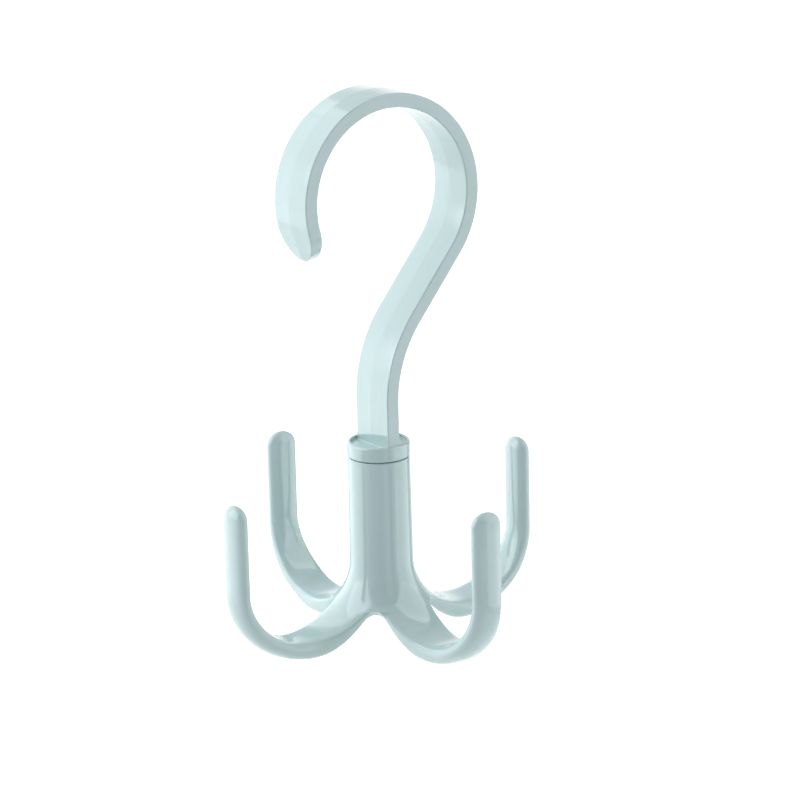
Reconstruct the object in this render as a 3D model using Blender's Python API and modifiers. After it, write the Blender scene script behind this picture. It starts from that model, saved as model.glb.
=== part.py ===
# Rotating closet hook: a strap hook for a closet rod, on a collar that turns on a body with four claws.
# Metres, +Z up. The origin is the inside top of the loop, where the rod bears, and the swivel axis is Z.
# The loop lies in the XZ plane with its open side at -X, and at rest the claws point along X and Y.
import math

import bmesh
import bpy
from mathutils import Matrix, Vector

# Clearances
seat_gap = 0.0003
running_gap = 0.0004
weld_distance = 0.00001

# Strap of the hook, its middle line from the tip over the loop to the neck
strap_width = 0.0177
strap_thickness = 0.0052
strap_crown = 0.0001
strap_edge_round = 0.0008
loop_tip_radius = 0.0310
loop_radius = 0.0335
loop_low_radius = 0.0324
loop_offset = 0.0011
neck_bend_radius = 0.0439
neck_straight = 0.0149
tip_angle = math.radians(36.5)
slope_angle = math.radians(39.7)
tip_length = 0.0104
tip_end_round = 0.0016

# Collar under the strap, and the hollow stem that the claw body turns on
collar_radius = 0.01055
collar_height = 0.0049
collar_round = 0.0010
collar_under_round = 0.0003
pocket_radius = 0.0083
pocket_depth = 0.0011
pocket_round = 0.0004
stem_radius = 0.0040

# Column of the claw body
column_top_radius = 0.0104
column_foot_radius = 0.01075
column_straight = 0.0362
column_wall = 0.0025
column_edge_round = 0.0004
web_thickness = 0.0025
sleeve_length = 0.0120
sleeve_wall = 0.0020

# Claws: a U-shaped upper line from the column to the finger, round a half ellipse
claw_reach_radius = 0.0223
claw_drop_radius = 0.0205
claw_width = 0.0111
claw_bed_width = 0.0142
claw_thickness = 0.0057
claw_bed_thickness = 0.0066
claw_edge_round = 0.0010
claw_hollow = 0.0002
finger_straight = 0.0307
finger_dome = 0.0046
petal_angle = math.radians(41.5)
deep_angle = math.radians(80)
bed_angle = math.radians(116)

# Screw and washer that hold the claw body on the stem
screw_radius = 0.0015
screw_length = 0.0120
screw_point = 0.0020
screw_head_radius = 0.0030
screw_head_height = 0.0022
screw_head_round = 0.0008
recess_width = 0.0008
recess_span = 0.0034
recess_depth = 0.0012
washer_radius = 0.0066
washer_thickness = 0.0010

# Counts of facets
round_steps = 48
petal_steps = 8
side_steps = 3
arc_step = math.radians(6)
claw_count = 4
tip_row_shares = (0.008, 0.04, 0.11, 0.22, 0.38, 0.58, 0.8)
flare_rows = 5
petal_rows = 10
bed_rows = 11
finger_rows = 2
dome_rows = 4

screw_steps = 32
rounding_share = 0.15
crotch_share = 0.08
claw_power = 2.1
petal_power = 8

# Colours and finishes
aqua = (0.60, 0.78, 0.79)
steel_grey = (0.62, 0.63, 0.65)
nylon_white = (0.88, 0.88, 0.85)
plastic_roughness = 0.22
steel_roughness = 0.3
nylon_roughness = 0.5

# Heights and angles that follow from the sizes
half_sector = math.pi / claw_count
dome_end_angle = math.radians(84)
strap_half = strap_thickness / 2
loop_top = strap_half
tip_centre = Vector((loop_offset, 0, loop_top - loop_tip_radius))
tip_root_angle = math.pi + tip_angle - tip_length / loop_tip_radius
slope_sine = math.sin(slope_angle)
slope_cosine = math.cos(slope_angle)
loop_low_centre = Vector((loop_offset + loop_radius - loop_low_radius, 0, loop_top - loop_radius))
slope_top = loop_low_centre + loop_low_radius * Vector((slope_cosine, 0, -slope_sine))
slope_foot_x = neck_bend_radius * (1 - slope_cosine)
slope_run = (slope_top.x - slope_foot_x) / slope_sine
neck_top = slope_top.z - slope_run * slope_cosine - neck_bend_radius * slope_sine
pocket_floor = neck_top - neck_straight
collar_top = pocket_floor + pocket_depth
collar_under = collar_top - collar_height
column_top = collar_under - running_gap
web_under = column_top - web_thickness
sleeve_end = column_top - sleeve_length
stem_end = sleeve_end
washer_top = sleeve_end - seat_gap
head_top = washer_top - washer_thickness - seat_gap
flare_top = column_top - column_straight
bore_radius = column_foot_radius - column_wall
claw_centre_radius = column_foot_radius + claw_reach_radius


def new_material(name, colour, roughness, metallic):
    material = bpy.data.materials.new(name)
    material.use_nodes = True
    surface = material.node_tree.nodes["Principled BSDF"]
    surface.inputs["Base Color"].default_value = (*colour, 1)
    surface.inputs["Roughness"].default_value = roughness
    surface.inputs["Metallic"].default_value = metallic
    return material


def new_object(name, mesh, collection, material):
    part = bpy.data.objects.new(name, mesh)
    collection.objects.link(part)
    if material:
        mesh.materials.append(material)
    return part


def new_cutter(name, mesh, collection):
    cutter = new_object(name, mesh, collection, None)
    cutter.hide_render = True
    cutter.display_type = "WIRE"
    return cutter


def add_boolean(part, other, operation):
    modifier = part.modifiers.new(operation.title(), "BOOLEAN")
    modifier.operation = operation
    modifier.object = other


def finish_mesh(shape, name, sharp_angle=math.radians(35)):
    bmesh.ops.remove_doubles(shape, verts=shape.verts, dist=weld_distance)
    bmesh.ops.recalc_face_normals(shape, faces=shape.faces)
    mesh = bpy.data.meshes.new(name)
    shape.to_mesh(mesh)
    shape.free()
    mesh.shade_smooth()
    mesh.set_sharp_from_angle(angle=sharp_angle)
    return mesh


# A solid lofted through rings of equally many points, closed by a flat face at each end
def lofted(rings, name):
    shape = bmesh.new()
    rows = [[shape.verts.new(point) for point in ring] for ring in rings]
    for row, following in zip(rows, rows[1:]):
        for i in range(len(row)):
            shape.faces.new((row[i - 1], row[i], following[i], following[i - 1]))
    shape.faces.new(rows[0])
    shape.faces.new(rows[-1])
    return finish_mesh(shape, name)


# A turned solid: the profile of (radius, height) pairs runs down the outer side
def turned(name, profile, collection, material, steps=round_steps):
    shape = bmesh.new()
    line = [shape.verts.new((radius, 0, height)) for radius, height in profile]
    for start, end in zip(line, line[1:]):
        shape.edges.new((start, end))
    mesh = bpy.data.meshes.new(name)
    shape.to_mesh(mesh)
    shape.free()
    part = new_object(name, mesh, collection, material)
    screw = part.modifiers.new("Turn", "SCREW")
    screw.axis = "Z"
    screw.steps = steps
    screw.render_steps = steps
    screw.use_merge_vertices = True
    screw.merge_threshold = weld_distance
    screw.use_smooth_shade = True
    return part


# Points of a quarter round of a turned profile, from one angle to another about its centre
def rounding(radius, height, size, start, end, steps=3):
    points = []
    for i in range(steps + 1):
        angle = math.radians(start + (end - start) * i / steps)
        points.append((radius + size * math.cos(angle), height + size * math.sin(angle)))
    return points


def arc_points(centre, radius, start, end):
    count = max(1, round(abs(end - start) / arc_step))
    angles = [start + (end - start) * i / count for i in range(count + 1)]
    return [(centre + radius * Vector((math.cos(a), 0, math.sin(a))), a) for a in angles]


# Middle line of the strap as (point, outward normal) pairs, from the root of its tip to inside the collar
def strap_line():
    loop_centre = Vector((loop_offset, 0, loop_top - loop_radius))
    line = arc_points(tip_centre, loop_tip_radius, tip_root_angle, math.pi / 2)[:-1]
    line += arc_points(loop_centre, loop_radius, math.pi / 2, 0)[:-1]
    line += arc_points(loop_low_centre, loop_low_radius, 0, -slope_angle)
    stations = [(point, Vector((math.cos(a), 0, math.sin(a)))) for point, a in line]
    bend_centre = Vector((neck_bend_radius, 0, neck_top))
    bend = arc_points(bend_centre, neck_bend_radius, math.pi - slope_angle, math.pi)
    stations += [(point, -Vector((math.cos(a), 0, math.sin(a)))) for point, a in bend]
    foot = Vector((0, 0, pocket_floor - strap_half))
    return stations + [(foot, Vector((1, 0, 0)))]


# Half the strap's width at a distance from its tip, where the end is rounded in the broad face
def strap_half_width(distance):
    reach_share = 1 - min(distance / tip_length, 1)
    return strap_width / 2 * math.sqrt(1 - reach_share**2)


# Half the strap's thickness at a distance from its tip, where the end's edge is rounded
def strap_half_depth(distance):
    reach = tip_end_round - min(distance, tip_end_round)
    return strap_half - tip_end_round + math.sqrt(tip_end_round**2 - reach**2)


# One ring round the strap: four rounded edges and a crease along the middle of each broad face
def strap_ring(middle, normal, half_width, half_depth):
    size = min(strap_edge_round, half_depth / 2, half_width / 2)
    ring = []
    for across, out in ((1, 1), (-1, 1), (-1, -1), (1, -1)):
        for i in range(side_steps + 1):
            turn = math.pi / 2 * (i if across == out else side_steps - i) / side_steps
            side = across * (half_width - size + size * math.cos(turn))
            depth = out * (half_depth - size + size * math.sin(turn))
            ring.append(middle + normal * depth + Vector((0, side, 0)))
        if across == out:
            ring.append(middle + normal * out * (half_depth + strap_crown))
    return ring


def strap_rings():
    rings = []
    for share in tip_row_shares:
        distance = tip_length * share
        angle = math.pi + tip_angle - distance / loop_tip_radius
        normal = Vector((math.cos(angle), 0, math.sin(angle)))
        middle = tip_centre + normal * loop_tip_radius
        rings.append(strap_ring(middle, normal, strap_half_width(distance), strap_half_depth(distance)))
    for middle, normal in strap_line():
        rings.append(strap_ring(middle, normal, strap_width / 2, strap_half))
    return rings


def collar_profile():
    pilot_radius = screw_radius + seat_gap
    pilot_top = head_top + screw_length + seat_gap
    return [
        (0, pocket_floor),
        (pocket_radius - pocket_round, pocket_floor),
        (pocket_radius, pocket_floor + pocket_round),
        (pocket_radius, collar_top - pocket_round),
        (pocket_radius + pocket_round, collar_top),
        *rounding(collar_radius - collar_round, collar_top - collar_round, collar_round, 90, 0, 4),
        (collar_radius, collar_under + collar_under_round),
        (collar_radius - collar_under_round, collar_under),
        (stem_radius, collar_under),
        (stem_radius, stem_end),
        (pilot_radius, stem_end),
        (pilot_radius, pilot_top),
        (0, pilot_top),
    ]


def make_swivel_hook(parts, cutters, plastic):
    hook = turned("swivel_hook", collar_profile(), parts, plastic)
    strap = new_cutter("strap", lofted(strap_rings(), "strap"), cutters)
    add_boolean(hook, strap, "UNION")
    return hook


def blend(start, end, share):
    share = min(1, max(0, share))
    return start + (end - start) * share * share * (3 - 2 * share)


# How far a station has passed from the crotch between two petals to the bed of the claw, 0 to 1
def petal_share(angle):
    return min(1, max(0, (angle - petal_angle) / (bed_angle - petal_angle)))


# Stations along a claw as (angle round the U, lift up the finger, scale of the section)
def claw_stations():
    angles = [petal_angle * i / flare_rows for i in range(flare_rows)]
    angles += [petal_angle + (bed_angle - petal_angle) * (i / petal_rows) ** 2 for i in range(petal_rows)]
    angles += [bed_angle + (math.pi - bed_angle) * i / bed_rows for i in range(bed_rows + 1)]
    stations = [(angle, 0, 1) for angle in angles]
    run = finger_straight - finger_dome
    stations += [(math.pi, run * i / finger_rows, 1) for i in range(1, finger_rows + 1)]
    for i in range(1, dome_rows + 1):
        turn = dome_end_angle * i / dome_rows
        stations.append((math.pi, run + finger_dome * math.sin(turn), math.cos(turn)))
    return stations


def claw_half_width(angle):
    radius = claw_centre_radius - claw_reach_radius * math.cos(min(angle, petal_angle))
    open_half = radius * math.sin(half_sector)
    share = petal_share(angle)
    spread_share = math.sqrt((share**2 + 2 * crotch_share * share) / (1 + 2 * crotch_share))
    narrowing = 1 - (1 - spread_share) ** 2
    claw_half = blend(claw_bed_width, claw_width, (angle - bed_angle) / (math.pi - bed_angle)) / 2
    return open_half + (claw_half - open_half) * narrowing


def claw_depth(angle):
    if angle < deep_angle:
        return blend(column_wall, claw_bed_thickness, angle / deep_angle)
    return blend(claw_bed_thickness, claw_thickness, (angle - deep_angle) / (math.pi - deep_angle))


# Where a column of the mesh lies across half a petal: by angle on the tube, by distance on the claw
def spread(place, share):
    turned_place = math.sin(half_sector * place) / math.sin(half_sector)
    return turned_place + (place - turned_place) * share


# Half a claw's section as (side, depth) pairs, from the middle of its upper face round to the middle below
def half_section(angle):
    share = petal_share(angle)
    half_width = claw_half_width(angle)
    depth = claw_depth(angle)
    rounded = blend(0, 1, share / rounding_share)
    edge = claw_edge_round * rounded
    hollow = claw_hollow * blend(0, 1, share)
    half_steps = petal_steps // 2
    section = []
    for i in range(half_steps + 1):
        place = spread(i / half_steps, share)
        section.append(((half_width - edge) * place, hollow * (1 - place * place)))
    power = 2 / (claw_power + (petal_power - claw_power) * (1 - share))
    count = side_steps + half_steps + 1
    for i in range(1, count + 1):
        turn = math.pi / 2 * i / count
        round_side = half_width * max(0, math.cos(turn)) ** power
        round_depth = edge + (depth - edge) * math.sin(turn) ** power
        if i <= side_steps:
            square_side, square_depth = half_width, depth * i / (side_steps + 1)
        else:
            square_side, square_depth = half_width * spread((count - i) / half_steps, share), depth
        side = square_side + (round_side - square_side) * rounded
        section.append((side, square_depth + (round_depth - square_depth) * rounded))
    return section


# A point of a claw that lies along +X: on the turned flare near the column, square to the claw beyond it
def claw_point(angle, lift, side, depth):
    radius = claw_centre_radius - (claw_reach_radius + depth) * math.cos(angle)
    height = flare_top - (claw_drop_radius + depth) * math.sin(angle) + lift
    surface_radius = claw_centre_radius - claw_reach_radius * math.cos(angle)
    turn = math.asin(side / surface_radius)
    on_flare = Vector((radius * math.cos(turn), radius * math.sin(turn), height))
    return on_flare.lerp(Vector((radius, side, height)), blend(0, 1, petal_share(angle)))


def claw_ring(angle, lift, scale):
    half = half_section(angle)
    half_depth = claw_depth(angle) / 2
    whole = half + [(-side, depth) for side, depth in reversed(half[1:-1])]
    ring = []
    for side, depth in whole:
        depth = half_depth + (depth - half_depth) * scale
        ring.append(claw_point(angle, lift, side * scale, depth))
    return ring


# Profile of the column: up its bore, down and up the sleeve round the stem, over the top and down outside
def column_profile():
    hole_radius = stem_radius + seat_gap
    return [
        (bore_radius, flare_top),
        (bore_radius, web_under),
        (hole_radius + sleeve_wall, web_under),
        (hole_radius + sleeve_wall, sleeve_end),
        (hole_radius, sleeve_end),
        (hole_radius, column_top),
        (column_top_radius - column_edge_round, column_top),
        (column_top_radius, column_top - column_edge_round),
        (column_foot_radius, flare_top),
    ]


# One quarter of the claw body, about +X: its share of the column and one claw
def add_quarter(shape, turn):
    rows = []
    for radius, height in column_profile():
        angles = [half_sector * (2 * i / petal_steps - 1) for i in range(petal_steps + 1)]
        rows.append([(radius * math.cos(a), radius * math.sin(a), height) for a in angles])
    rows = [[shape.verts.new(turn @ Vector(point)) for point in row] for row in rows]
    for row, following in zip(rows, rows[1:]):
        for i in range(petal_steps):
            shape.faces.new((row[i], row[i + 1], following[i + 1], following[i]))
    stations = claw_stations()
    rings = [[shape.verts.new(turn @ point) for point in claw_ring(*station)] for station in stations]
    half_steps = petal_steps // 2
    side_span = range(half_steps, half_steps + side_steps + 1)
    for station, ring, following in zip(stations, rings, rings[1:]):
        size = len(ring)
        open_sides = station[0] < petal_angle
        for i in range(size):
            mirrored = size - 1 - i
            if open_sides and (i in side_span or mirrored in side_span):
                continue
            shape.faces.new((ring[i], following[i], following[(i + 1) % size], ring[(i + 1) % size]))
    shape.faces.new(rings[-1])


def make_claw_body(parts, plastic):
    shape = bmesh.new()
    for i in range(claw_count):
        add_quarter(shape, Matrix.Rotation(2 * math.pi * i / claw_count, 3, "Z"))
    return new_object("claw_body", finish_mesh(shape, "claw_body"), parts, plastic)


def screw_profile():
    return [
        (0, head_top - screw_head_height),
        *rounding(
            screw_head_radius - screw_head_round,
            head_top - screw_head_height + screw_head_round,
            screw_head_round,
            -90,
            0,
        ),
        (screw_head_radius, head_top),
        (screw_radius, head_top),
        (screw_radius, head_top + screw_length - screw_point),
        (0, head_top + screw_length),
    ][::-1]


def make_pivot_screw(parts, cutters, steel):
    screw = turned("pivot_screw", screw_profile(), parts, steel, screw_steps)
    slots = {"recess_long": (recess_span, recess_width), "recess_cross": (recess_width, recess_span)}
    for name, (length, width) in slots.items():
        shape = bmesh.new()
        size = Vector((length, width, 2 * recess_depth))
        bmesh.ops.create_cube(shape, size=1, matrix=Matrix.Diagonal(size.to_4d()))
        cutter = new_cutter(name, finish_mesh(shape, name), cutters)
        cutter.location.z = head_top - screw_head_height
        add_boolean(screw, cutter, "DIFFERENCE")
    return screw


def make_thrust_washer(parts, nylon):
    bore = screw_radius + seat_gap
    profile = [
        (bore, washer_top),
        (washer_radius, washer_top),
        (washer_radius, washer_top - washer_thickness),
        (bore, washer_top - washer_thickness),
        (bore, washer_top),
    ]
    return turned("thrust_washer", profile, parts, nylon, screw_steps)


def clear_scene():
    for item in list(bpy.data.objects):
        bpy.data.objects.remove(item, do_unlink=True)


def new_collection(name):
    collection = bpy.data.collections.new(name)
    bpy.context.scene.collection.children.link(collection)
    return collection


def main():
    clear_scene()
    parts = new_collection("rotating_closet_hook")
    cutters = new_collection("cutters")
    plastic = new_material("aqua_plastic", aqua, plastic_roughness, 0)
    steel = new_material("screw_steel", steel_grey, steel_roughness, 1)
    nylon = new_material("washer_nylon", nylon_white, nylon_roughness, 0)
    make_swivel_hook(parts, cutters, plastic)
    make_claw_body(parts, plastic)
    make_pivot_screw(parts, cutters, steel)
    make_thrust_washer(parts, nylon)


main()
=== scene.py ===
import math

import bmesh
import bpy
from mathutils import Matrix, Vector


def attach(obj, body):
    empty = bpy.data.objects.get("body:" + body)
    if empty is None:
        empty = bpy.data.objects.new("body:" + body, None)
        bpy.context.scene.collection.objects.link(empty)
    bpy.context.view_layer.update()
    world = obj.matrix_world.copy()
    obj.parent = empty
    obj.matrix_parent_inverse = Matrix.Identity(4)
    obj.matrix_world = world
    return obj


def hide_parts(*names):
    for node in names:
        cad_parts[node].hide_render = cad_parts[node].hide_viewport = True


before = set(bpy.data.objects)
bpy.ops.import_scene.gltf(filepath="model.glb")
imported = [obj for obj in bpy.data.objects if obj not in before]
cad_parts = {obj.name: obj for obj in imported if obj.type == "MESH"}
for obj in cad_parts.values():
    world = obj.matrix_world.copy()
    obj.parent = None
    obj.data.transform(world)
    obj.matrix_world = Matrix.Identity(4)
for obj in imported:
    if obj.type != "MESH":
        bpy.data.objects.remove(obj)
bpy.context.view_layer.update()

scene = bpy.context.scene
mm = 0.001
mergeDistance = 0.01 * mm
fineMerge = 0.001 * mm
levelNormal = 0.9            # a face is level where its normal's height passes this


# small helpers for shaping meshes

def deselectAll():
    bpy.ops.object.select_all(action="DESELECT")


def activate(piece):
    deselectAll()
    piece.select_set(True)
    bpy.context.view_layer.objects.active = piece


def openMesh(piece):
    activate(piece)
    bpy.ops.object.mode_set(mode="EDIT")
    bpy.ops.mesh.select_mode(type="VERT")


def closeMesh():
    bpy.ops.object.mode_set(mode="OBJECT")


def selectVerts(test):    # selects what lies wholly on vertices that pass the test
    mesh = bmesh.from_edit_mesh(bpy.context.object.data)
    for part in (*mesh.verts, *mesh.edges, *mesh.faces):
        part.select = False
    for vert in mesh.verts:
        vert.select = bool(test(vert))
    mesh.select_flush(True)
    bmesh.update_edit_mesh(bpy.context.object.data)


def selectFaces(test):
    bpy.ops.mesh.select_mode(type="FACE")
    mesh = bmesh.from_edit_mesh(bpy.context.object.data)
    for face in mesh.faces:
        face.select = bool(test(face))
    mesh.select_flush_mode()
    bmesh.update_edit_mesh(bpy.context.object.data)


def selectEdges(test):
    bpy.ops.mesh.select_mode(type="EDGE")
    mesh = bmesh.from_edit_mesh(bpy.context.object.data)
    for edge in mesh.edges:
        edge.select = bool(test(edge))
    mesh.select_flush_mode()
    bmesh.update_edit_mesh(bpy.context.object.data)


def onCircle(edge, radius, height, within):    # about the vertical axis, all in millimetres
    return all(
        abs(math.hypot(vert.co.x, vert.co.y) - radius * mm) < within * mm
        and abs(vert.co.z - height * mm) < within * mm
        for vert in edge.verts
    )


def extrudeEdges(move):
    bpy.ops.mesh.extrude_edges_move(TRANSFORM_OT_translate={"value": move})


def extrudeUp(height):
    extrudeEdges((0, 0, height))


def resize(x=1, y=1, z=1, centre=(0, 0, 0)):
    bpy.ops.transform.resize(value=(x, y, z), center_override=centre)


def applyAll(piece):
    activate(piece)
    for modifier in list(piece.modifiers):
        bpy.ops.object.modifier_apply(modifier=modifier.name)


def cleanMesh(piece):
    openMesh(piece)
    bpy.ops.mesh.select_all(action="SELECT")
    bpy.ops.mesh.remove_doubles(threshold=mergeDistance)
    bpy.ops.mesh.normals_make_consistent(inside=False)
    closeMesh()


def blend(start, end, share):    # eases from start to end as share goes from 0 to 1
    share = min(1, max(0, share))
    return start + (end - start) * share * share * (3 - 2 * share)


# camera at the photograph's viewpoint

camera = {
    "azimuth": -35.85,       # degrees round the hook, 0 looks along +Y
    "elevation": 16.76,
    "roll": -1.44,
    "distance": 1.288,
    "pixelsPerMm": 3.0072,   # at the aim point, in the photograph's 800 pixels
    "aimRight": 0.00753,     # the aim point's place, in metres
    "aimHeight": -0.1003,
    "sensor": 36.0,
    "photoSize": 800,
    "sight": 50,             # metres
}


def direction(azimuth, elevation):
    turn, lift = math.radians(azimuth), math.radians(elevation)
    return Vector((math.sin(turn) * math.cos(lift), -math.cos(turn) * math.cos(lift), math.sin(lift)))


def makeCamera():
    back = direction(camera["azimuth"], camera["elevation"])
    right = direction(camera["azimuth"] + 90, 0)
    up = back.cross(right)
    roll = math.radians(camera["roll"])
    turnedRight = math.cos(roll) * right + math.sin(roll) * up
    turnedUp = math.cos(roll) * up - math.sin(roll) * right
    data = bpy.data.cameras.new("photoCamera")
    data.sensor_width = camera["sensor"]
    data.lens = camera["pixelsPerMm"] * camera["distance"] / mm / camera["photoSize"] * camera["sensor"]
    data.clip_end = camera["sight"]
    eye = bpy.data.objects.new("photoCamera", data)
    scene.collection.objects.link(eye)
    aim = right * camera["aimRight"] + Vector((0, 0, camera["aimHeight"]))
    turn = Matrix((turnedRight, turnedUp, back)).transposed().to_4x4()
    eye.matrix_world = Matrix.Translation(aim + back * camera["distance"]) @ turn
    scene.camera = eye


makeCamera()
print("camera placed")


# studio: a white room with soft panels on the left, on the right, overhead and behind, in metres

studio = {
    "room": 0.2,             # light of the room on the object
    "roomColour": (0.95, 1.0, 1.02),
    "upperRoom": 0.4,        # what gloss shows of the room above the panels' feet
    "upperFrom": 0.12,       # sines of the elevations where the lower room's white starts to fall, and ends
    "upperTo": 0.42,
    "floorHeight": -0.90,
    "floorSize": 16.0,
    "floorColour": (0.86, 0.87, 0.87),
    "floorGlow": 0.8,        # lifts the floor to white in the picture, its shadow stays
    "aim": (0, 0, -0.09),
    "panels": {              # azimuth from the camera, elevation, width, height, radiance
        "leftSoftbox": (-92, 12, 6.4, 3.4, 1.95),
        "rightSoftbox": (91, -8, 1.9, 1.0, 1.65),
        "frontRightFill": (40, 10, 1.5, 1.8, 0.6),
        "overhead": (180, 88, 2.2, 2.2, 0.75),
        "backFill": (180, 20, 1.6, 1.6, 0.5),
    },
    "glossPanels": {         # only their reflections show
        "leftGlow": (-75, 30, 1.6, 1.6, 2.2),
        "rightGlow": (91, 35, 1.9, 1.5, 2.4),
    },
    "softboxShift": 1.0,     # the left softbox is moved this far to the back
    "softboxAcross": ((0, 0.5), (0.25, 0.5), (0.52, 1), (0.69, 1), (1, 0)),    # place from the back, glow
    "softboxUp": ((0, 0), (0.25, 1)),    # place from below, glow
    "panelDistance": 1.5,
}


def addNode(nodes, kind, **values):    # a node with its settings, and its inputs by name or number
    node = nodes.new(kind)
    for name, value in values.items():
        if hasattr(node, name):
            setattr(node, name, value)
        else:
            isNumber = name.startswith("input")
            key = int(name.removeprefix("input")) if isNumber else name.replace("_", " ")
            node.inputs[key].default_value = value
    return node


def seenDirectly(nodes, links):    # 1 for camera, glossy and transmission rays
    path = nodes.new("ShaderNodeLightPath")
    first = addNode(nodes, "ShaderNodeMath", operation="MAXIMUM")
    second = addNode(nodes, "ShaderNodeMath", operation="MAXIMUM")
    links.new(path.outputs["Is Camera Ray"], first.inputs[0])
    links.new(path.outputs["Is Glossy Ray"], first.inputs[1])
    links.new(first.outputs[0], second.inputs[0])
    links.new(path.outputs["Is Transmission Ray"], second.inputs[1])
    return second.outputs[0]


def makeWorld():
    world = bpy.data.worlds.new("whiteRoom")
    scene.world = world
    world.use_nodes = True
    nodes, links = world.node_tree.nodes, world.node_tree.links
    room = nodes["Background"]
    room.inputs["Color"].default_value = (*studio["roomColour"], 1)
    room.inputs["Strength"].default_value = studio["room"]
    place = nodes.new("ShaderNodeTexCoord")
    parts = nodes.new("ShaderNodeSeparateXYZ")
    fall = addNode(
        nodes, "ShaderNodeMapRange", interpolation_type="SMOOTHSTEP",
        From_Min=studio["upperFrom"], From_Max=studio["upperTo"], To_Min=1, To_Max=studio["upperRoom"],
    )
    path = nodes.new("ShaderNodeLightPath")
    strength = addNode(nodes, "ShaderNodeMath", operation="MAXIMUM")
    white = addNode(nodes, "ShaderNodeBackground", Color=(1, 1, 1, 1))
    links.new(place.outputs["Generated"], parts.inputs[0])
    links.new(parts.outputs["Z"], fall.inputs["Value"])
    links.new(fall.outputs["Result"], strength.inputs[0])
    links.new(path.outputs["Is Camera Ray"], strength.inputs[1])
    links.new(strength.outputs[0], white.inputs["Strength"])
    mix = nodes.new("ShaderNodeMixShader")
    links.new(seenDirectly(nodes, links), mix.inputs["Fac"])
    links.new(room.outputs[0], mix.inputs[1])
    links.new(white.outputs[0], mix.inputs[2])
    links.new(mix.outputs[0], nodes["World Output"].inputs["Surface"])


def makePanel(name, azimuth, elevation, width, height, radiance, glossOnly=False):
    data = bpy.data.lights.new(name, "AREA")
    data.shape = "RECTANGLE"
    data.size, data.size_y = width, height
    data.energy = radiance * width * height * math.pi
    lamp = bpy.data.objects.new(name, data)
    scene.collection.objects.link(lamp)
    away = direction(camera["azimuth"] + azimuth, elevation)
    lamp.location = Vector(studio["aim"]) + away * studio["panelDistance"]
    lamp.rotation_euler = away.to_track_quat("Z", "Y").to_euler()
    lamp.visible_camera = False
    lamp.visible_diffuse = not glossOnly
    return lamp


def fadeSoftbox(lamp):    # its glow falls towards the camera, the back and below
    azimuth = studio["panels"]["leftSoftbox"][0]
    lamp.location += direction(camera["azimuth"] + azimuth - 90, 0) * studio["softboxShift"]
    lamp.data.use_nodes = True
    nodes, links = lamp.data.node_tree.nodes, lamp.data.node_tree.links
    place = nodes.new("ShaderNodeNewGeometry")
    parts = nodes.new("ShaderNodeSeparateXYZ")
    both = addNode(nodes, "ShaderNodeMath", operation="MULTIPLY")
    links.new(place.outputs["Parametric"], parts.inputs[0])
    for axis, stops, socket in (("X", studio["softboxAcross"], 0), ("Y", studio["softboxUp"], 1)):
        ramp = nodes.new("ShaderNodeValToRGB")
        ramp.color_ramp.interpolation = "EASE"
        for stop in stops[1:-1]:    # a new ramp has its two ends
            ramp.color_ramp.elements.new(stop[0])
        for element, (spot, glow) in zip(ramp.color_ramp.elements, stops):
            element.position = spot
            element.color = (glow, glow, glow, 1)
        links.new(parts.outputs[axis], ramp.inputs[0])
        links.new(ramp.outputs[0], both.inputs[socket])
    links.new(both.outputs[0], nodes["Emission"].inputs["Strength"])


def makeFloor():
    deselectAll()
    bpy.ops.mesh.primitive_plane_add(size=studio["floorSize"], location=(0, 0, studio["floorHeight"]))
    floor = bpy.context.object
    floor.name = "studioFloor"
    material = bpy.data.materials.new("paleFloor")
    material.use_nodes = True
    nodes, links = material.node_tree.nodes, material.node_tree.links
    surface = nodes["Principled BSDF"]
    surface.inputs["Base Color"].default_value = (*studio["floorColour"], 1)
    surface.inputs["Roughness"].default_value = 1.0
    surface.inputs["Specular IOR Level"].default_value = 0.0
    surface.inputs["Emission Color"].default_value = (1, 1, 1, 1)
    glow = addNode(nodes, "ShaderNodeMath", operation="MULTIPLY", input1=studio["floorGlow"])
    links.new(seenDirectly(nodes, links), glow.inputs[0])
    links.new(glow.outputs[0], surface.inputs["Emission Strength"])
    floor.data.materials.append(material)


scene.view_settings.view_transform = "Standard"
makeWorld()
panels = {name: makePanel(name, *panel) for name, panel in studio["panels"].items()}
for panelName, panel in studio["glossPanels"].items():
    makePanel(panelName, *panel, glossOnly=True)
fadeSoftbox(panels["leftSoftbox"])
makeFloor()
print("studio lit")


# finishes: groups of nodes that the materials place with their own values, lengths in metres

effects = {                  # what the groups hold for every finish
    "cloudDetail": 3,
    "cloudRoughness": 0.55,
    "cloudDistortion": 0.4,
    "cloudFrom": 0.35,       # levels of the noise between which one pigment gives way to the other
    "cloudTo": 0.65,
    "rubStretch": (1, 1, 0.12),    # rubs run along the piece
    "rubDetail": 2,
    "rubRoughness": 0.7,
    "rubFrom": 0.58,
    "rubTo": 0.75,
    "patchScale": 70,
    "patchDetail": 2,
    "patchFrom": 0.4,
    "patchTo": 0.7,
    "patchLeast": 0.1,       # how much of the rubs shows between the patches
    "waveScale": 90,
    "waveDetail": 1,
    "grainDetail": 2,
    "grainShare": 0.12,      # height of the grain as a share of the waves'
}
aqua = {
    "colour": (0.45, 0.60, 0.595),
    "tint": (0.475, 0.605, 0.65),    # the pigment clouds a little towards blue
    "cloudScale": 55,
    "cloudAmount": 0.7,
    "roughness": 0.075,
    "scuff": 0.10,
    "scuffScale": 900,
    "skinScale": 420,
    "skinHeight": 0.000012,
    "flow": {"hook": (1, 5, 1), "claws": (1.6, 1.6, 1)},    # the mould's flow draws the pattern out
}
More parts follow.
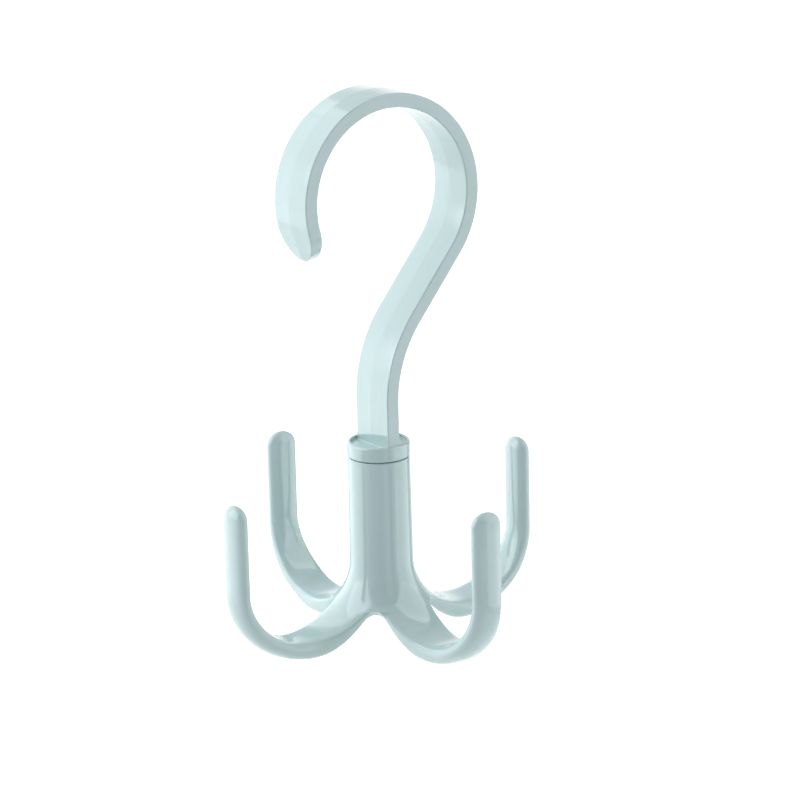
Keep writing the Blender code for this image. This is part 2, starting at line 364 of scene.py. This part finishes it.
nylon = {
    "colour": (0.84, 0.84, 0.80),
    "tint": (0.90, 0.90, 0.88),
    "cloudScale": 300,
    "cloudAmount": 1.0,
    "roughness": 0.42,
    "scuff": 0.15,
    "scuffScale": 1500,
    "skinScale": 1800,
    "skinHeight": 0.00001,
    "subsurface": 0.15,
    "subsurfaceScale": 0.002,
}
steel = {
    "colour": (0.60, 0.60, 0.61),
    "tint": (0.68, 0.68, 0.69),
    "cloudScale": 500,
    "cloudAmount": 1.0,
    "roughness": 0.26,
    "scuff": 0.25,
    "scuffScale": 2500,
    "turningPitch": 0.00018,
    "turningHeight": 0.000004,
}


def newGroup(name, inputs, output, outputKind):    # its inputs get their values in each material
    group = bpy.data.node_groups.new(name, "ShaderNodeTree")
    for socketName, kind in inputs:
        group.interface.new_socket(name=socketName, in_out="INPUT", socket_type=kind)
    group.interface.new_socket(name=output, in_out="OUTPUT", socket_type=outputKind)
    nodes = group.nodes
    return group, nodes, group.links, nodes.new("NodeGroupInput"), nodes.new("NodeGroupOutput")


def cloudedColour():    # drifts between two pigments, as in moulded plastic
    group, nodes, links, given, result = newGroup("cloudedColour", (
        ("Vector", "NodeSocketVector"),
        ("Colour", "NodeSocketColor"),
        ("Tint", "NodeSocketColor"),
        ("Scale", "NodeSocketFloat"),
        ("Amount", "NodeSocketFloat"),
    ), "Colour", "NodeSocketColor")
    cloud = addNode(
        nodes, "ShaderNodeTexNoise", Detail=effects["cloudDetail"],
        Roughness=effects["cloudRoughness"], Distortion=effects["cloudDistortion"],
    )
    drift = addNode(
        nodes, "ShaderNodeMapRange", interpolation_type="SMOOTHSTEP",
        From_Min=effects["cloudFrom"], From_Max=effects["cloudTo"],
    )
    amount = addNode(nodes, "ShaderNodeMath", operation="MULTIPLY")
    mix = addNode(nodes, "ShaderNodeMix", data_type="RGBA")
    links.new(given.outputs["Vector"], cloud.inputs["Vector"])
    links.new(given.outputs["Scale"], cloud.inputs["Scale"])
    links.new(cloud.outputs[0], drift.inputs["Value"])
    links.new(drift.outputs[0], amount.inputs[0])
    links.new(given.outputs["Amount"], amount.inputs[1])
    links.new(amount.outputs[0], mix.inputs["Factor"])
    links.new(given.outputs["Colour"], mix.inputs[6])
    links.new(given.outputs["Tint"], mix.inputs[7])
    links.new(mix.outputs[2], result.inputs["Colour"])
    return group


def scuffedGloss():    # a roughness that rises in patches and along fine rubs
    group, nodes, links, given, result = newGroup("scuffedGloss", (
        ("Vector", "NodeSocketVector"),
        ("Roughness", "NodeSocketFloat"),
        ("Scuff", "NodeSocketFloat"),
        ("Scale", "NodeSocketFloat"),
    ), "Roughness", "NodeSocketFloat")
    drawn = addNode(nodes, "ShaderNodeMapping", Scale=effects["rubStretch"])
    rubs = addNode(
        nodes, "ShaderNodeTexNoise", Detail=effects["rubDetail"], Roughness=effects["rubRoughness"]
    )
    patches = addNode(
        nodes, "ShaderNodeTexNoise", Scale=effects["patchScale"], Detail=effects["patchDetail"]
    )
    fine = addNode(
        nodes, "ShaderNodeMapRange", From_Min=effects["rubFrom"], From_Max=effects["rubTo"]
    )
    broad = addNode(
        nodes, "ShaderNodeMapRange", From_Min=effects["patchFrom"], From_Max=effects["patchTo"],
        To_Min=effects["patchLeast"],
    )
    both = addNode(nodes, "ShaderNodeMath", operation="MULTIPLY")
    rise = addNode(nodes, "ShaderNodeMath", operation="MULTIPLY_ADD")
    links.new(given.outputs["Vector"], drawn.inputs["Vector"])
    links.new(drawn.outputs[0], rubs.inputs["Vector"])
    links.new(given.outputs["Scale"], rubs.inputs["Scale"])
    links.new(given.outputs["Vector"], patches.inputs["Vector"])
    links.new(rubs.outputs[0], fine.inputs["Value"])
    links.new(patches.outputs[0], broad.inputs["Value"])
    links.new(fine.outputs[0], both.inputs[0])
    links.new(broad.outputs[0], both.inputs[1])
    links.new(both.outputs[0], rise.inputs[0])
    links.new(given.outputs["Scuff"], rise.inputs[1])
    links.new(given.outputs["Roughness"], rise.inputs[2])
    links.new(rise.outputs[0], result.inputs["Roughness"])
    return group


def mouldedSkin():    # slow waves of a moulded surface under a fine grain, as a height
    group, nodes, links, given, result = newGroup("mouldedSkin", (
        ("Vector", "NodeSocketVector"),
        ("Scale", "NodeSocketFloat"),
    ), "Height", "NodeSocketFloat")
    waves = addNode(
        nodes, "ShaderNodeTexNoise", Scale=effects["waveScale"], Detail=effects["waveDetail"]
    )
    grain = addNode(nodes, "ShaderNodeTexNoise", Detail=effects["grainDetail"])
    share = addNode(nodes, "ShaderNodeMath", operation="MULTIPLY", input1=effects["grainShare"])
    total = addNode(nodes, "ShaderNodeMath", operation="ADD")
    links.new(given.outputs["Vector"], waves.inputs["Vector"])
    links.new(given.outputs["Vector"], grain.inputs["Vector"])
    links.new(given.outputs["Scale"], grain.inputs["Scale"])
    links.new(grain.outputs[0], share.inputs[0])
    links.new(waves.outputs[0], total.inputs[0])
    links.new(share.outputs[0], total.inputs[1])
    links.new(total.outputs[0], result.inputs["Height"])
    return group


groups = {"colour": cloudedColour(), "gloss": scuffedGloss(), "skin": mouldedSkin()}


def startFinish(name, values, stretch=(1, 1, 1)):    # colour and gloss, which all finishes share
    material = bpy.data.materials.new(name)
    material.use_nodes = True
    nodes, links = material.node_tree.nodes, material.node_tree.links
    surface = nodes["Principled BSDF"]
    place = nodes.new("ShaderNodeTexCoord")
    drawn = addNode(nodes, "ShaderNodeMapping", Scale=stretch)
    links.new(place.outputs["Object"], drawn.inputs["Vector"])
    colour = addNode(nodes, "ShaderNodeGroup", node_tree=groups["colour"])
    gloss = addNode(nodes, "ShaderNodeGroup", node_tree=groups["gloss"])
    for node in (colour, gloss):
        links.new(drawn.outputs[0], node.inputs["Vector"])
    colour.inputs["Colour"].default_value = (*values["colour"], 1)
    colour.inputs["Tint"].default_value = (*values["tint"], 1)
    colour.inputs["Scale"].default_value = values["cloudScale"]
    colour.inputs["Amount"].default_value = values["cloudAmount"]
    gloss.inputs["Roughness"].default_value = values["roughness"]
    gloss.inputs["Scuff"].default_value = values["scuff"]
    gloss.inputs["Scale"].default_value = values["scuffScale"]
    links.new(colour.outputs[0], surface.inputs["Base Color"])
    links.new(gloss.outputs[0], surface.inputs["Roughness"])
    return material, nodes, links, surface, drawn


def addBump(nodes, links, surface, height, distance):
    bump = addNode(nodes, "ShaderNodeBump", Distance=distance)
    links.new(height, bump.inputs["Height"])
    links.new(bump.outputs[0], surface.inputs["Normal"])


def addSkin(nodes, links, surface, drawn, values):
    skin = addNode(nodes, "ShaderNodeGroup", node_tree=groups["skin"])
    skin.inputs["Scale"].default_value = values["skinScale"]
    links.new(drawn.outputs[0], skin.inputs["Vector"])
    addBump(nodes, links, surface, skin.outputs[0], values["skinHeight"])


def aquaFinish(part):    # the same plastic in both mouldings, each with its own flow
    name = "aqua" + part.capitalize()
    material, nodes, links, surface, drawn = startFinish(name, aqua, aqua["flow"][part])
    addSkin(nodes, links, surface, drawn, aqua)
    return material


def nylonFinish():
    material, nodes, links, surface, drawn = startFinish("whiteNylon", nylon)
    surface.inputs["Subsurface Weight"].default_value = nylon["subsurface"]
    surface.inputs["Subsurface Scale"].default_value = nylon["subsurfaceScale"]
    addSkin(nodes, links, surface, drawn, nylon)
    return material


def steelFinish():    # turned rings round the screw's axis
    material, nodes, links, surface, drawn = startFinish("turnedSteel", steel)
    surface.inputs["Metallic"].default_value = 1.0
    parts = nodes.new("ShaderNodeSeparateXYZ")
    radial = nodes.new("ShaderNodeCombineXYZ")
    radius = addNode(nodes, "ShaderNodeVectorMath", operation="LENGTH")
    perMetre = 2 * math.pi / steel["turningPitch"]
    turns = addNode(nodes, "ShaderNodeMath", operation="MULTIPLY", input1=perMetre)
    rings = addNode(nodes, "ShaderNodeMath", operation="SINE")
    links.new(drawn.outputs[0], parts.inputs[0])
    links.new(parts.outputs["X"], radial.inputs["X"])
    links.new(parts.outputs["Y"], radial.inputs["Y"])
    links.new(radial.outputs[0], radius.inputs[0])
    links.new(radius.outputs["Value"], turns.inputs[0])
    links.new(turns.outputs[0], rings.inputs[0])
    addBump(nodes, links, surface, rings.outputs[0], steel["turningHeight"])
    return material


print("finishes mixed")


# hook moulding: a creased strap swept up from the collar and round the loop, in millimetres

strap = {
    "width": 17.9,
    "thickness": 4.8,
    "crease": 0.3,           # height of the ridge along the middle of each broad face
    "ridgeCuts": 3,          # the ridge's middle and one line on each side of it
    "seamHalf": 0.15,        # the mould's parting line, a fine groove along the ridge
    "seamDepth": 0.05,
    "seamEndRing": 10,       # of the tip's rings, where the groove runs out
    "crown": 2.6,            # height of the strap's middle over the rod's seat, the origin
    "edgeRound": 0.5,
    "edgeSegments": 5,
    "footFillet": 0.45,      # the broad faces run out into the pocket's floor
    "filletStart": 15,       # degrees up the fillet's quarter circle, where it leaves the floor
    "filletRings": 5,
    "footReach": 1.15,       # the narrow faces run out into the collar's rim
    "footHeight": 2.4,
    "footSunk": 0.3,
    "footRings": 8,
    "neckStraight": 14.9,
    "neckBend": 43.9,
    "slopeAngle": 39.7,      # degrees
    "loopLow": 32.4,         # the loop's radii: from the slope up to its full width,
    "loop": 33.5,            # from there to its top
    "loopTip": 31.3,         # and from its top down to the tip
    "loopOffset": 1.1,
    "tipBend": 15.5,         # degrees that the loop runs past its height before the straight tip
    "tipLength": 11.0,       # of the tip, which narrows to a rounded end
    "tipBlunt": 0.7,         # 1 ends in a point, 0.5 in a half circle
    "tipThin": 0.88,         # how much of the thickness reaches the end
    "tipRound": 1.3,         # the last of it is rounded in its thickness too
    "tipTilt": 10,           # degrees that the end leans back on the outer side
    "tipTiltReach": 6.0,     # the length over which it comes to lean
    "tipRings": 26,
    "tipStop": 0.5,          # the last ring stays this share of a step from the very end
    "sweepStep": 2.0,        # degrees between the rings of a bend
    "rootDepth": 1.0,        # how far the strap reaches under the pocket's floor
}
collar = {
    "radius": 10.55,
    "height": 4.9,
    "topRound": 0.8,
    "topSegments": 6,
    "underRound": 0.3,
    "underSegments": 3,
    "pocketRadius": 9.4,
    "pocketDepth": 1.1,
    "pocketRound": 0.3,
    "pocketSegments": 4,
    "stemRadius": 4.0,
    "stemEnd": -131.222,
    "pilotRadius": 1.8,
    "pilotTop": -120.7,
    "sides": 128,
    "edgeWithin": 0.05,      # how near a vertex lies to the ring that is looked for
    "smoothAngle": 30,       # degrees
}


def sweep(centre, angle, towards):    # turns the open ring about an axis along Y
    steps = max(1, round(angle / strap["sweepStep"]))
    bpy.ops.mesh.spin(
        steps=steps, angle=math.radians(angle), center=[v * mm for v in centre], axis=(0, -towards, 0)
    )


def ringMiddle():
    mesh = bmesh.from_edit_mesh(bpy.context.object.data)
    places = [vert.co for vert in mesh.verts if vert.select]
    return sum(places, Vector()) / len(places)


def closeSeam(deeper):    # brings the groove's bottom out to the ridge on the last ring
    mesh = bmesh.from_edit_mesh(bpy.context.object.data)
    mesh.verts.index_update()
    ring = {vert.index for vert in mesh.verts if vert.select}
    middle = ringMiddle()
    selectVerts(lambda vert: vert.index in ring and abs(vert.co.y) < mergeDistance)
    resize(x=deeper, z=deeper, centre=middle)
    selectVerts(lambda vert: vert.index in ring)


def makeStrap():
    half = strap["thickness"] / 2
    slope = math.radians(strap["slopeAngle"])
    loopTop = strap["crown"]
    tipCentre = (strap["loopOffset"], 0, loopTop - strap["loopTip"])
    loopCentre = (strap["loopOffset"], 0, loopTop - strap["loop"])
    lowCentre = (strap["loopOffset"] + strap["loop"] - strap["loopLow"], 0, loopTop - strap["loop"])
    slopeTopX = lowCentre[0] + strap["loopLow"] * math.cos(slope)
    slopeTopZ = lowCentre[2] - strap["loopLow"] * math.sin(slope)
    slopeFootX = strap["neckBend"] * (1 - math.cos(slope))
    slopeRun = (slopeTopX - slopeFootX) / math.sin(slope)
    neckTop = slopeTopZ - slopeRun * math.cos(slope) - strap["neckBend"] * math.sin(slope)
    pocketFloor = neckTop - strap["neckStraight"]
    rimTop = pocketFloor + collar["pocketDepth"]

    # the section: a plane with rounded corners and a ridge, opened to a ring
    root = pocketFloor - strap["rootDepth"]
    deselectAll()
    bpy.ops.mesh.primitive_plane_add(size=1, location=(0, 0, root * mm))
    piece = bpy.context.object
    piece.name = "strap"
    piece.scale = (strap["thickness"] * mm, strap["width"] * mm, 1)
    bpy.ops.object.transform_apply(location=True, rotation=True, scale=True)
    openMesh(piece)
    bpy.ops.mesh.select_all(action="SELECT")
    bpy.ops.mesh.bevel(offset=strap["edgeRound"] * mm, segments=strap["edgeSegments"], affect="VERTICES")
    bpy.ops.mesh.select_all(action="SELECT")
    bpy.ops.mesh.delete(type="ONLY_FACE")
    selectEdges(lambda edge: edge.calc_length() > strap["width"] / 2 * mm)
    bpy.ops.mesh.subdivide(number_cuts=strap["ridgeCuts"])
    bpy.ops.mesh.select_mode(type="VERT")
    ridge, outerCut = half + strap["crease"], (strap["width"] / 2 - strap["edgeRound"]) / 2
    selectVerts(lambda vert: abs(vert.co.y) < outerCut * mm + mergeDistance)
    resize(x=ridge / half, y=strap["seamHalf"] / outerCut)
    selectVerts(lambda vert: abs(vert.co.y) < mergeDistance)
    resize(x=1 - strap["seamDepth"] / ridge)
    bpy.ops.mesh.select_all(action="SELECT")

    # the foot starts wide and is drawn in up a fillet, then up a quarter of an ellipse
    halfWidth, reach = strap["width"] / 2, strap["footReach"]
    footLow = rimTop - strap["footSunk"]
    resize(y=(halfWidth + reach) / halfWidth)
    fillet, height, depthHere = strap["footFillet"], root, half
    for i in range(strap["filletRings"]):
        start = strap["filletStart"]
        turn = math.radians(start + (90 - start) * i / (strap["filletRings"] - 1))
        nextHeight = pocketFloor + fillet * (1 - math.cos(turn))
        nextDepth = half + fillet * (1 - math.sin(turn))
        if i == 0:    # the buried end is as thick as the fillet's foot
            resize(x=nextDepth / depthHere)
            depthHere = nextDepth
        extrudeUp((nextHeight - height) * mm)
        resize(x=nextDepth / depthHere)
        height, depthHere = nextHeight, nextDepth
    extrudeUp((footLow - height) * mm)
    height, widthHere = footLow, halfWidth + reach
    for i in range(1, strap["footRings"] + 1):
        turn = math.pi / 2 * i / strap["footRings"]
        nextHeight = footLow + strap["footHeight"] * (1 - math.cos(turn))
        nextWidth = halfWidth + reach * (1 - math.sin(turn))
        extrudeUp((nextHeight - height) * mm)
        resize(y=nextWidth / widthHere)
        height, widthHere = nextHeight, nextWidth
    extrudeUp((neckTop - height) * mm)

    sweep((strap["neckBend"], 0, neckTop), strap["slopeAngle"], 1)
    run = Vector((math.sin(slope), 0, math.cos(slope))) * slopeRun * mm
    extrudeEdges(run)
    sweep(lowCentre, strap["slopeAngle"], -1)
    sweep(loopCentre, 90, -1)
    sweep(tipCentre, 90 + strap["tipBend"], -1)

    # the tip is narrowed ring by ring, leant back and rounded in its thickness at the end
    rings, bend = strap["tipRings"], math.radians(strap["tipBend"])
    tipRun = Vector((math.sin(bend), 0, -math.cos(bend))) * strap["tipLength"] * mm
    done, narrow, thin, tilt = 0, 1, 1, 0
    for i in range(1, rings + 1):
        share = math.sin(math.pi / 2 * i / (rings + strap["tipStop"]))
        extrudeEdges(tipRun * (share - done))
        left = strap["tipLength"] * (1 - share)
        nextNarrow = (1 - share**2) ** strap["tipBlunt"]
        intoRound = max(0, 1 - left / strap["tipRound"])
        nextThin = blend(1, strap["tipThin"], share) * math.sqrt(1 - intoRound**2)
        nextTilt = blend(strap["tipTilt"], 0, left / strap["tipTiltReach"])
        middle = ringMiddle()
        resize(x=nextThin / thin, y=nextNarrow / narrow, z=nextThin / thin, centre=middle)
        lean = math.radians(tilt - nextTilt)
        bpy.ops.transform.rotate(value=lean, orient_axis="Y", center_override=middle)
        done, narrow, thin, tilt = share, nextNarrow, nextThin, nextTilt
        if i == strap["seamEndRing"]:
            closeSeam(ridge / (ridge - strap["seamDepth"]))
    bpy.ops.mesh.edge_face_add()
    selectVerts(lambda vert: vert.co.z < (root + strap["rootDepth"] / 2) * mm)
    bpy.ops.mesh.edge_face_add()
    closeMesh()
    cleanMesh(piece)
    return piece, pocketFloor


def makeCollar(pocketFloor):
    rimTop = pocketFloor + collar["pocketDepth"]
    under = rimTop - collar["height"]
    deselectAll()
    bpy.ops.mesh.primitive_cylinder_add(
        vertices=collar["sides"], radius=collar["radius"] * mm, depth=collar["height"] * mm,
        location=(0, 0, (rimTop + under) / 2 * mm),
    )
    piece = bpy.context.object
    bpy.ops.object.transform_apply(location=True, rotation=True, scale=True)
    openMesh(piece)

    def pushIn(side, height, radii, heights):    # insets a level end to each radius, then moves it
        selectFaces(lambda face: face.normal.z * side > levelNormal)
        radius = collar["radius"]
        for nextRadius, nextHeight in zip(radii, heights):
            bpy.ops.mesh.inset(thickness=(radius - nextRadius) * mm)
            move = (0, 0, (nextHeight - height) * mm)
            bpy.ops.mesh.extrude_region_move(TRANSFORM_OT_translate={"value": move})
            radius, height = nextRadius, nextHeight

    pushIn(1, rimTop, (collar["pocketRadius"],), (pocketFloor,))
    pushIn(
        -1, under,
        (collar["stemRadius"], collar["pilotRadius"]),
        (collar["stemEnd"], collar["pilotTop"]),
    )

    rounds = (
        (collar["radius"], rimTop, collar["topRound"], collar["topSegments"]),
        (collar["radius"], under, collar["underRound"], collar["underSegments"]),
        (collar["pocketRadius"], rimTop, collar["pocketRound"], collar["pocketSegments"]),
        (collar["pocketRadius"], pocketFloor, collar["pocketRound"], collar["pocketSegments"]),
    )
    for radius, height, size, segments in rounds:
        selectEdges(lambda edge: onCircle(edge, radius, height, collar["edgeWithin"]))
        bpy.ops.mesh.bevel(offset=size * mm, segments=segments, affect="EDGES")
    closeMesh()
    cleanMesh(piece)
    return piece


def makeHookMoulding():
    strapPiece, pocketFloor = makeStrap()
    piece = makeCollar(pocketFloor)
    piece.name = "hookMoulding"
    join = piece.modifiers.new("join", "BOOLEAN")
    join.operation = "UNION"
    join.object = strapPiece
    applyAll(piece)
    bpy.data.objects.remove(strapPiece, do_unlink=True)
    cleanMesh(piece)
    bpy.ops.object.shade_smooth_by_angle(angle=math.radians(collar["smoothAngle"]))
    flat = piece.modifiers.new("flatFaces", "WEIGHTED_NORMAL")
    flat.keep_sharp = True
    applyAll(piece)
    piece.data.materials.clear()
    piece.data.materials.append(aquaFinish("hook"))
    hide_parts("swivel_hook")
    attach(piece, "hook")
    return piece


hookMoulding = makeHookMoulding()
print("hook moulded,", len(hookMoulding.data.polygons), "faces")


# claw moulding: a grid laid round each of four claws, joined under the column, in millimetres

claw = {
    "count": 4,
    "columnTop": -119.222,
    "columnTopRadius": 10.4,
    "columnFootRadius": 10.75,
    "flareTop": -155.422,
    "wall": 2.5,
    "topRound": 0.4,
    "topSegments": 4,
    "webThickness": 2.5,
    "sleeveLength": 12.0,
    "sleeveWall": 2.0,
    "sleeveBore": 4.3,
    "reach": 22.3,           # the U's half width
    "drop": 20.5,            # and its depth under the column
    "width": 11.1,
    "bedWidth": 14.2,
    "thickness": 5.7,
    "bedThickness": 6.6,
    "petalEdge": 1.1,        # how deep the upper face's edge is rounded: at the petals,
    "bedEdge": 2.2,          # at the bed and up the finger, whose section is an oval
    "fingerEdge": 2.85,
    "petalFlat": 4.5,        # how flat the upper face is, 2 is an oval
    "bedFlat": 3.6,
    "fingerFlat": 2.15,
    "hollow": 0.12,          # how deep the middle of the bed's upper face dips
    "fingerStraight": 30.7,
    "fingerDome": 4.6,
    "domeTurn": 87,          # degrees up the dome to its last ring, which a small face closes
    "petalAngle": 41.5,      # degrees round the U, where neighbouring petals part
    "thinAngle": 30,         # the tube's wall grows into the bed between these
    "deepAngle": 84,
    "bedAngle": 116,
    "roundness": 2.1,        # how flat the lower face is, 2 is an oval
    "petalRoundness": 8,
    "crotch": 0.08,          # how round the notch between two petals starts, 0 is sharp
    "archWidth": 0.85,       # the arch between two petals is opened this much on each side
    "archReach": 2.9,
    "rounding": 0.07,        # share of the way to the bed in which the section turns round
    "faceSteps": 12,         # across half the upper face
    "sideSteps": 6,
    "flareRows": 12,
    "petalRows": 30,
    "bedRows": 40,
    "fingerRows": 6,
    "domeRows": 10,
    "edgeWithin": 0.1,       # how near a vertex lies to the circle that is looked for
    "smoothAngle": 40,       # degrees
}


def petalShare(angle):
    return min(1, max(0, (angle - claw["petalAngle"]) / (claw["bedAngle"] - claw["petalAngle"])))


def fingerShare(angle):
    return (angle - claw["bedAngle"]) / (180 - claw["bedAngle"])


def clawStations():    # (angle round the U, lift up the finger, scale of the section)
    petal, bed = claw["petalAngle"], claw["bedAngle"]
    angles = [petal * i / claw["flareRows"] for i in range(claw["flareRows"])]
    angles += [petal + (bed - petal) * (i / claw["petalRows"]) ** 2 for i in range(claw["petalRows"])]
    angles += [bed + (180 - bed) * i / claw["bedRows"] for i in range(claw["bedRows"] + 1)]
    stations = [(angle, 0, 1) for angle in angles]
    run = claw["fingerStraight"] - claw["fingerDome"]
    stations += [(180, run * i / claw["fingerRows"], 1) for i in range(1, claw["fingerRows"] + 1)]
    for i in range(1, claw["domeRows"] + 1):
        turn = math.radians(claw["domeTurn"]) * i / claw["domeRows"]
        stations.append((180, run + claw["fingerDome"] * math.sin(turn), math.cos(turn)))
    return stations


def clawHalfWidth(angle):
    centre = claw["columnFootRadius"] + claw["reach"]
    radius = centre - claw["reach"] * math.cos(math.radians(min(angle, claw["petalAngle"])))
    openHalf = radius * math.sin(math.pi / claw["count"])
    share, crotch = petalShare(angle), claw["crotch"]
    spreadShare = math.sqrt((share**2 + 2 * crotch * share) / (1 + 2 * crotch))
    narrowing = 1 - (1 - spreadShare) ** 2
    clawHalf = blend(claw["bedWidth"], claw["width"], fingerShare(angle)) / 2
    fromCrotch = math.radians(max(0, angle - claw["petalAngle"])) * claw["reach"] / claw["archReach"]
    arch = claw["archWidth"] * math.sqrt(2 * fromCrotch) * math.exp(0.5 - fromCrotch)    # widest at 0.5
    return openHalf + (clawHalf - openHalf) * narrowing - arch


def clawDepth(angle):
    thin, deep = claw["thinAngle"], claw["deepAngle"]
    if angle < deep:
        return blend(claw["wall"], claw["bedThickness"], (angle - thin) / (deep - thin))
    return blend(claw["bedThickness"], claw["thickness"], (angle - deep) / (180 - deep))


def alongClaw(petal, bed, finger, angle):    # a size that changes from the petals to the bed to the finger
    return blend(petal, bed, petalShare(angle)) + blend(0, finger - bed, fingerShare(angle))


def spread(place, share):    # even by angle on the tube, by distance on the claw
    half = math.pi / claw["count"]
    turned = math.sin(half * place) / math.sin(half)
    return turned + (place - turned) * share


def halfSection(angle):    # (side, depth) from the middle of the upper face round to the middle below
    share = petalShare(angle)
    halfWidth, depth = clawHalfWidth(angle), clawDepth(angle)
    rounded = blend(0, 1, share / claw["rounding"])
    edge = alongClaw(claw["petalEdge"], claw["bedEdge"], claw["fingerEdge"], angle)
    upper = 2 / alongClaw(claw["petalFlat"], claw["bedFlat"], claw["fingerFlat"], angle)
    lower = 2 / (claw["roundness"] + (claw["petalRoundness"] - claw["roundness"]) * (1 - share))
    hollow = claw["hollow"] * blend(0, 1, share) * (1 - blend(0, 1, fingerShare(angle)))
    faceSteps, sideSteps = claw["faceSteps"], claw["sideSteps"]
    section = []
    for i in range(faceSteps + 1):
        turn = math.pi / 2 * i / faceSteps
        squareSide = halfWidth * spread(i / faceSteps, share)
        roundSide = halfWidth * math.sin(turn) ** upper
        roundDepth = edge * (1 - max(0, math.cos(turn)) ** upper)
        side = squareSide + (roundSide - squareSide) * rounded
        section.append((side, roundDepth * rounded + hollow * (1 - (side / halfWidth) ** 2)))
    count = sideSteps + faceSteps + 1
    for i in range(1, count + 1):
        turn = math.pi / 2 * i / count
        roundSide = halfWidth * max(0, math.cos(turn)) ** lower
        roundDepth = edge + (depth - edge) * math.sin(turn) ** lower
        if i <= sideSteps:
            squareSide, squareDepth = halfWidth, depth * i / (sideSteps + 1)
        else:
            squareSide, squareDepth = halfWidth * spread((count - i) / faceSteps, share), depth
        side = squareSide + (roundSide - squareSide) * rounded
        section.append((side, squareDepth + (roundDepth - squareDepth) * rounded))
    return section


def clawPoint(angle, lift, side, depth):
    centre = claw["columnFootRadius"] + claw["reach"]
    turn = math.radians(angle)
    radius = centre - (claw["reach"] + depth) * math.cos(turn)
    height = claw["flareTop"] - (claw["drop"] + depth) * math.sin(turn) + lift
    surfaceRadius = centre - claw["reach"] * math.cos(turn)
    swing = math.asin(side / surfaceRadius)
    onFlare = Vector((radius * math.cos(swing), radius * math.sin(swing), height))
    return onFlare.lerp(Vector((radius, side, height)), blend(0, 1, petalShare(angle)))


def clawRing(station):
    angle, lift, scale = station
    half = halfSection(angle)
    middle = clawDepth(angle) / 2
    whole = half + [(-side, depth) for side, depth in reversed(half[1:-1])]
    return [clawPoint(angle, lift, side * scale, middle + (depth - middle) * scale) for side, depth in whole]


def makeClaw():
    stations = clawStations()
    rings = [clawRing(station) for station in stations]
    around = len(rings[0])
    deselectAll()
    bpy.ops.mesh.primitive_grid_add(x_subdivisions=len(rings) - 1, y_subdivisions=around, size=1)
    piece = bpy.context.object
    piece.name = "clawMoulding"
    for vert in piece.data.vertices:    # the grid is laid round the claw, row by row
        row = round((vert.co.x + 0.5) * (len(rings) - 1))
        column = round((vert.co.y + 0.5) * around)
        vert.co = rings[row][column % around] * mm
    openMesh(piece)
    bpy.ops.mesh.select_all(action="SELECT")
    bpy.ops.mesh.remove_doubles(threshold=fineMerge)
    half = math.pi / claw["count"]

    def onSeam(vert):    # on the plane where neighbouring quarters meet
        return abs(abs(vert.co.y) * math.cos(half) - vert.co.x * math.sin(half)) < mergeDistance

    selectFaces(lambda face: all(onSeam(vert) for vert in face.verts))
    bpy.ops.mesh.delete(type="FACE")
    tipHeight = max(point.z for point in rings[-1]) * mm

    def atTip(edge):
        return edge.is_boundary and all(abs(vert.co.z - tipHeight) < mergeDistance for vert in edge.verts)

    selectEdges(atTip)
    bpy.ops.mesh.edge_face_add()
    closeMesh()
    return piece


def makeClawMoulding():
    piece = makeClaw()
    copies = []
    for i in range(1, claw["count"]):
        copy = piece.copy()
        copy.data = piece.data.copy()
        scene.collection.objects.link(copy)
        copy.data.transform(Matrix.Rotation(2 * math.pi * i / claw["count"], 4, "Z"))
        copies.append(copy)
    activate(piece)
    for copy in copies:
        copy.select_set(True)
    bpy.ops.object.join()
    openMesh(piece)
    bpy.ops.mesh.select_all(action="SELECT")
    bpy.ops.mesh.remove_doubles(threshold=mergeDistance)

    # from the flare's outer rim up the column, over its top and down inside to the inner rim
    radius, height, flareTop = claw["columnFootRadius"], claw["flareTop"], claw["flareTop"]
    selectEdges(lambda edge: edge.is_boundary and onCircle(edge, radius, height, claw["edgeWithin"]))
    size, top = claw["topRound"], claw["columnTop"]
    outline = [(claw["columnTopRadius"], top - size)]
    for i in range(1, claw["topSegments"] + 1):
        turn = math.pi / 2 * i / claw["topSegments"]
        drawnIn, down = size * (1 - math.cos(turn)), size * (1 - math.sin(turn))
        outline.append((claw["columnTopRadius"] - drawnIn, top - down))
    sleeveEnd, webUnder = top - claw["sleeveLength"], top - claw["webThickness"]
    outline += [
        (claw["sleeveBore"], top),
        (claw["sleeveBore"], sleeveEnd),
        (claw["sleeveBore"] + claw["sleeveWall"], sleeveEnd),
        (claw["sleeveBore"] + claw["sleeveWall"], webUnder),
        (claw["columnFootRadius"] - claw["wall"], webUnder),
        (claw["columnFootRadius"] - claw["wall"], flareTop),
    ]
    for nextRadius, nextHeight in outline:
        extrudeUp((nextHeight - height) * mm)
        if nextRadius != radius:
            resize(x=nextRadius / radius, y=nextRadius / radius)
        radius, height = nextRadius, nextHeight
    closeMesh()
    cleanMesh(piece)
    bpy.ops.object.shade_smooth_by_angle(angle=math.radians(claw["smoothAngle"]))
    piece.data.materials.clear()
    piece.data.materials.append(aquaFinish("claws"))
    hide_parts("claw_body")
    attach(piece, "claws")
    return piece


clawMoulding = makeClawMoulding()
print("claws moulded,", len(clawMoulding.data.polygons), "faces")


# the screw and the washer keep their solids and take a finish

for nodeName, finish in (("pivot_screw", steelFinish()), ("thrust_washer", nylonFinish())):
    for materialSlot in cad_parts[nodeName].material_slots:
        materialSlot.material = finish
        print(nodeName, "takes", finish.name)
